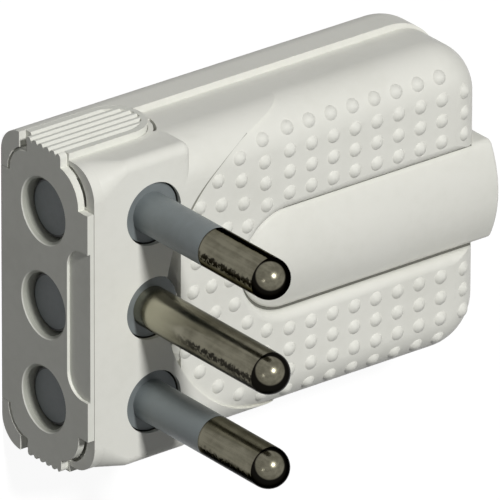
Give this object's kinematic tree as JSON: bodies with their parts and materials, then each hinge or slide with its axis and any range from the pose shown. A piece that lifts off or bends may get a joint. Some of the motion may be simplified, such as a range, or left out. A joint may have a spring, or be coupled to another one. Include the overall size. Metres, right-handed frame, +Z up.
{
  "type": "flat right-angled mains plug",
  "caption": "Flat right-angled three-pin plug with pins in line, a domed grip, a cable tunnel and ribbed side tabs.",
  "frame": {"origin": "centre of the middle (earth) pin, in the plane of the pin face", "axes": "+Z up along the pins, towards their tips; +X along the body towards the cable end; Y along the row of pins. The plug lies on its flat back."},
  "size_m": [0.048, 0.0322, 0.032],
  "materials": {
    "shell_plastic": "fine satin, off-white",
    "cap_plastic": "fine satin, off-white",
    "carrier_plastic": "satin, blue-grey",
    "sleeve_plastic": "satin, blue-grey",
    "pin_metal": "nickel-plated brass, drawn lengthwise",
    "terminal_metal": "machined",
    "screw_metal": "zinc-plated"
  },
  "bodies": {
    "root": {"front_shell": "shell_plastic", "rear_cover": "shell_plastic", "end_cap": "cap_plastic", "pin_carrier": "carrier_plastic", "earth_pin": "pin_metal", "live_pin_left": "pin_metal", "live_pin_right": "pin_metal", "live_sleeve_left": "sleeve_plastic", "live_sleeve_right": "sleeve_plastic", "terminal_block_left": "terminal_metal", "terminal_block_middle": "terminal_metal", "terminal_block_right": "terminal_metal", "terminal_screw_left": "screw_metal", "terminal_screw_middle": "screw_metal", "terminal_screw_right": "screw_metal", "cord_clamp": "carrier_plastic", "clamp_screw_left": "screw_metal", "clamp_screw_right": "screw_metal", "cover_screw_left": "screw_metal", "cover_screw_right": "screw_metal"}
  },
  "joints": []
}
